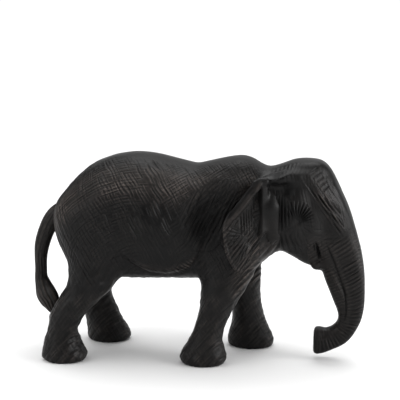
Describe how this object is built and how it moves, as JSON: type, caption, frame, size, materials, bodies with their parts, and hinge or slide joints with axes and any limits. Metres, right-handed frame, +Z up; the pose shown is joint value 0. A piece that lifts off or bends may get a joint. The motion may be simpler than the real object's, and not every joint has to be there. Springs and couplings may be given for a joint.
{
  "type": "carved wooden elephant figurine",
  "caption": "Black-stained carved wooden elephant, walking, head lowered, trunk curled back, tail looped to a hind leg; glued-up carving that stands on its soles.",
  "frame": {"origin": "middle of the footprint box at the level of the soles", "axes": "+X the way the elephant faces, +Y its left side, +Z up"},
  "size_m": [0.254, 0.084, 0.1555],
  "materials": {
    "black_stained_wood": "satin black stain and wax over tooled hardwood, browner where the ridges are rubbed",
    "dowel_wood": "plain turned beech, unfinished, hidden in the joints"
  },
  "bodies": {
    "root": {"torso": "black_stained_wood", "head": "black_stained_wood", "trunk": "black_stained_wood", "ear_left": "black_stained_wood", "ear_right": "black_stained_wood", "front_left_leg": "black_stained_wood", "front_right_leg": "black_stained_wood", "rear_left_leg": "black_stained_wood", "rear_right_leg": "black_stained_wood", "tail": "black_stained_wood", "neck_dowels": "dowel_wood", "leg_dowels": "dowel_wood", "trunk_dowel": "dowel_wood", "ear_dowels": "dowel_wood"}
  },
  "joints": []
}
